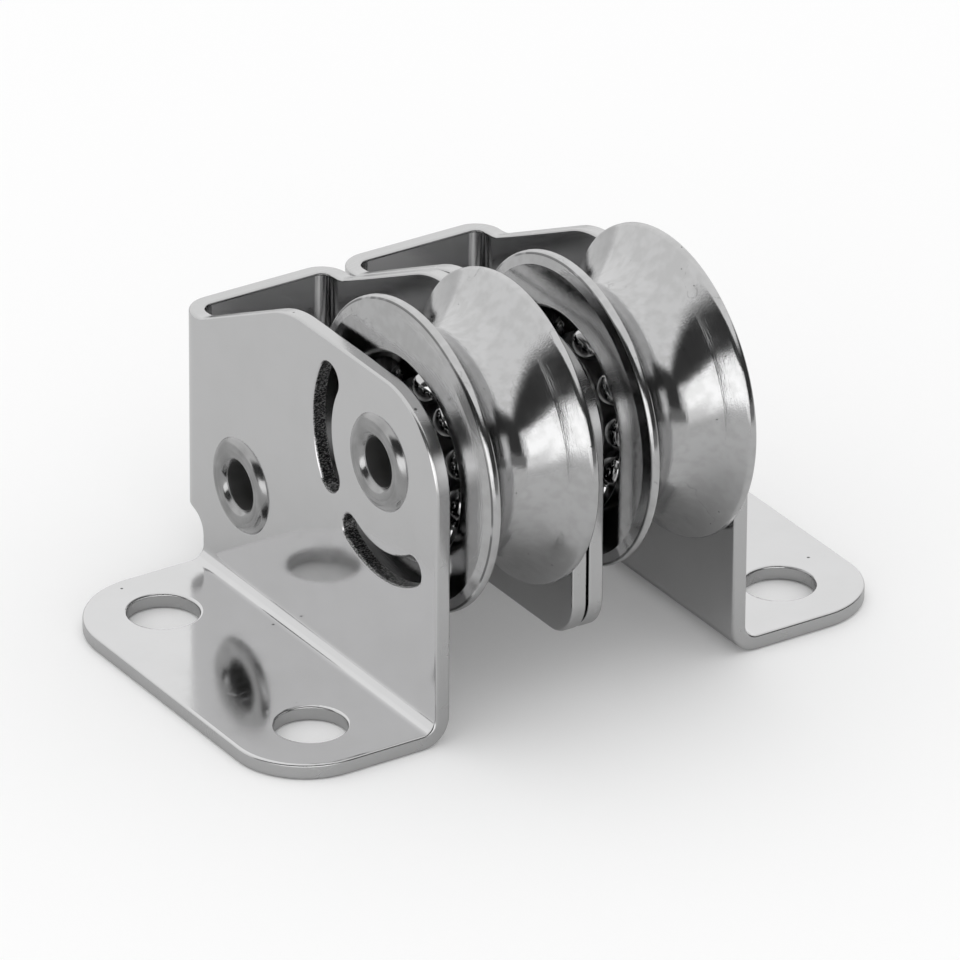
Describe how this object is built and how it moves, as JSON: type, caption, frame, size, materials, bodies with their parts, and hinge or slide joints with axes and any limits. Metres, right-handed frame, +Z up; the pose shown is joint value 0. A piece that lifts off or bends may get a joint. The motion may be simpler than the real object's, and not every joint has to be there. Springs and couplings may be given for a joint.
{
  "type": "double stand-up block",
  "caption": "Double stand-up block with ball-bearing sheaves in folded stainless brackets, screwed to a deck to lead and turn two control lines.",
  "frame": {"origin": "centre of the four mounting holes, on the underside of the base flanges", "axes": "+Z up from the deck, X along the axle across both sheaves, +Y from the sheaves to the closed back of the brackets"},
  "size_m": [0.0524, 0.0388, 0.031],
  "materials": {
    "polished_sheet": "mirror polished stainless sheet, cut edges tumbled",
    "turned_steel": "turned stainless with fine rings, lightly polished",
    "race_steel": "turned and ground stainless",
    "ball_steel": "polished stainless balls",
    "rivet_steel": "polished stainless tube, ends rolled over",
    "tube_steel": "plain drawn stainless tube"
  },
  "bodies": {
    "frame": {"left_bracket": "polished_sheet", "right_bracket": "polished_sheet", "axle_rivet": "rivet_steel", "rear_rivet": "rivet_steel", "left_spacer": "tube_steel", "right_spacer": "tube_steel", "left_hub": "race_steel", "right_hub": "race_steel"},
    "left_sheave": {"left_sheave": "turned_steel"},
    "right_sheave": {"right_sheave": "turned_steel"},
    "left_balls": {"left_balls_outer": "ball_steel", "left_balls_inner": "ball_steel"},
    "right_balls": {"right_balls_outer": "ball_steel", "right_balls_inner": "ball_steel"}
  },
  "joints": [
    {"name": "left_sheave_spin", "type": "hinge", "parent": "frame", "child": "left_sheave", "pos_m": [-0.00665, -0.00825, 0.0194], "axis": [1, 0, 0], "continuous": true},
    {"name": "left_balls_orbit", "type": "hinge", "parent": "frame", "child": "left_balls", "pos_m": [-0.00665, -0.00825, 0.0194], "axis": [1, 0, 0], "continuous": true},
    {"name": "right_sheave_spin", "type": "hinge", "parent": "frame", "child": "right_sheave", "pos_m": [0.00665, -0.00825, 0.0194], "axis": [1, 0, 0], "continuous": true},
    {"name": "right_balls_orbit", "type": "hinge", "parent": "frame", "child": "right_balls", "pos_m": [0.00665, -0.00825, 0.0194], "axis": [1, 0, 0], "continuous": true}
  ],
  "couplings": [
    {"joint": "left_balls_orbit", "follows": "left_sheave_spin", "ratio": 0.61474},
    {"joint": "right_balls_orbit", "follows": "right_sheave_spin", "ratio": 0.61474}
  ]
}
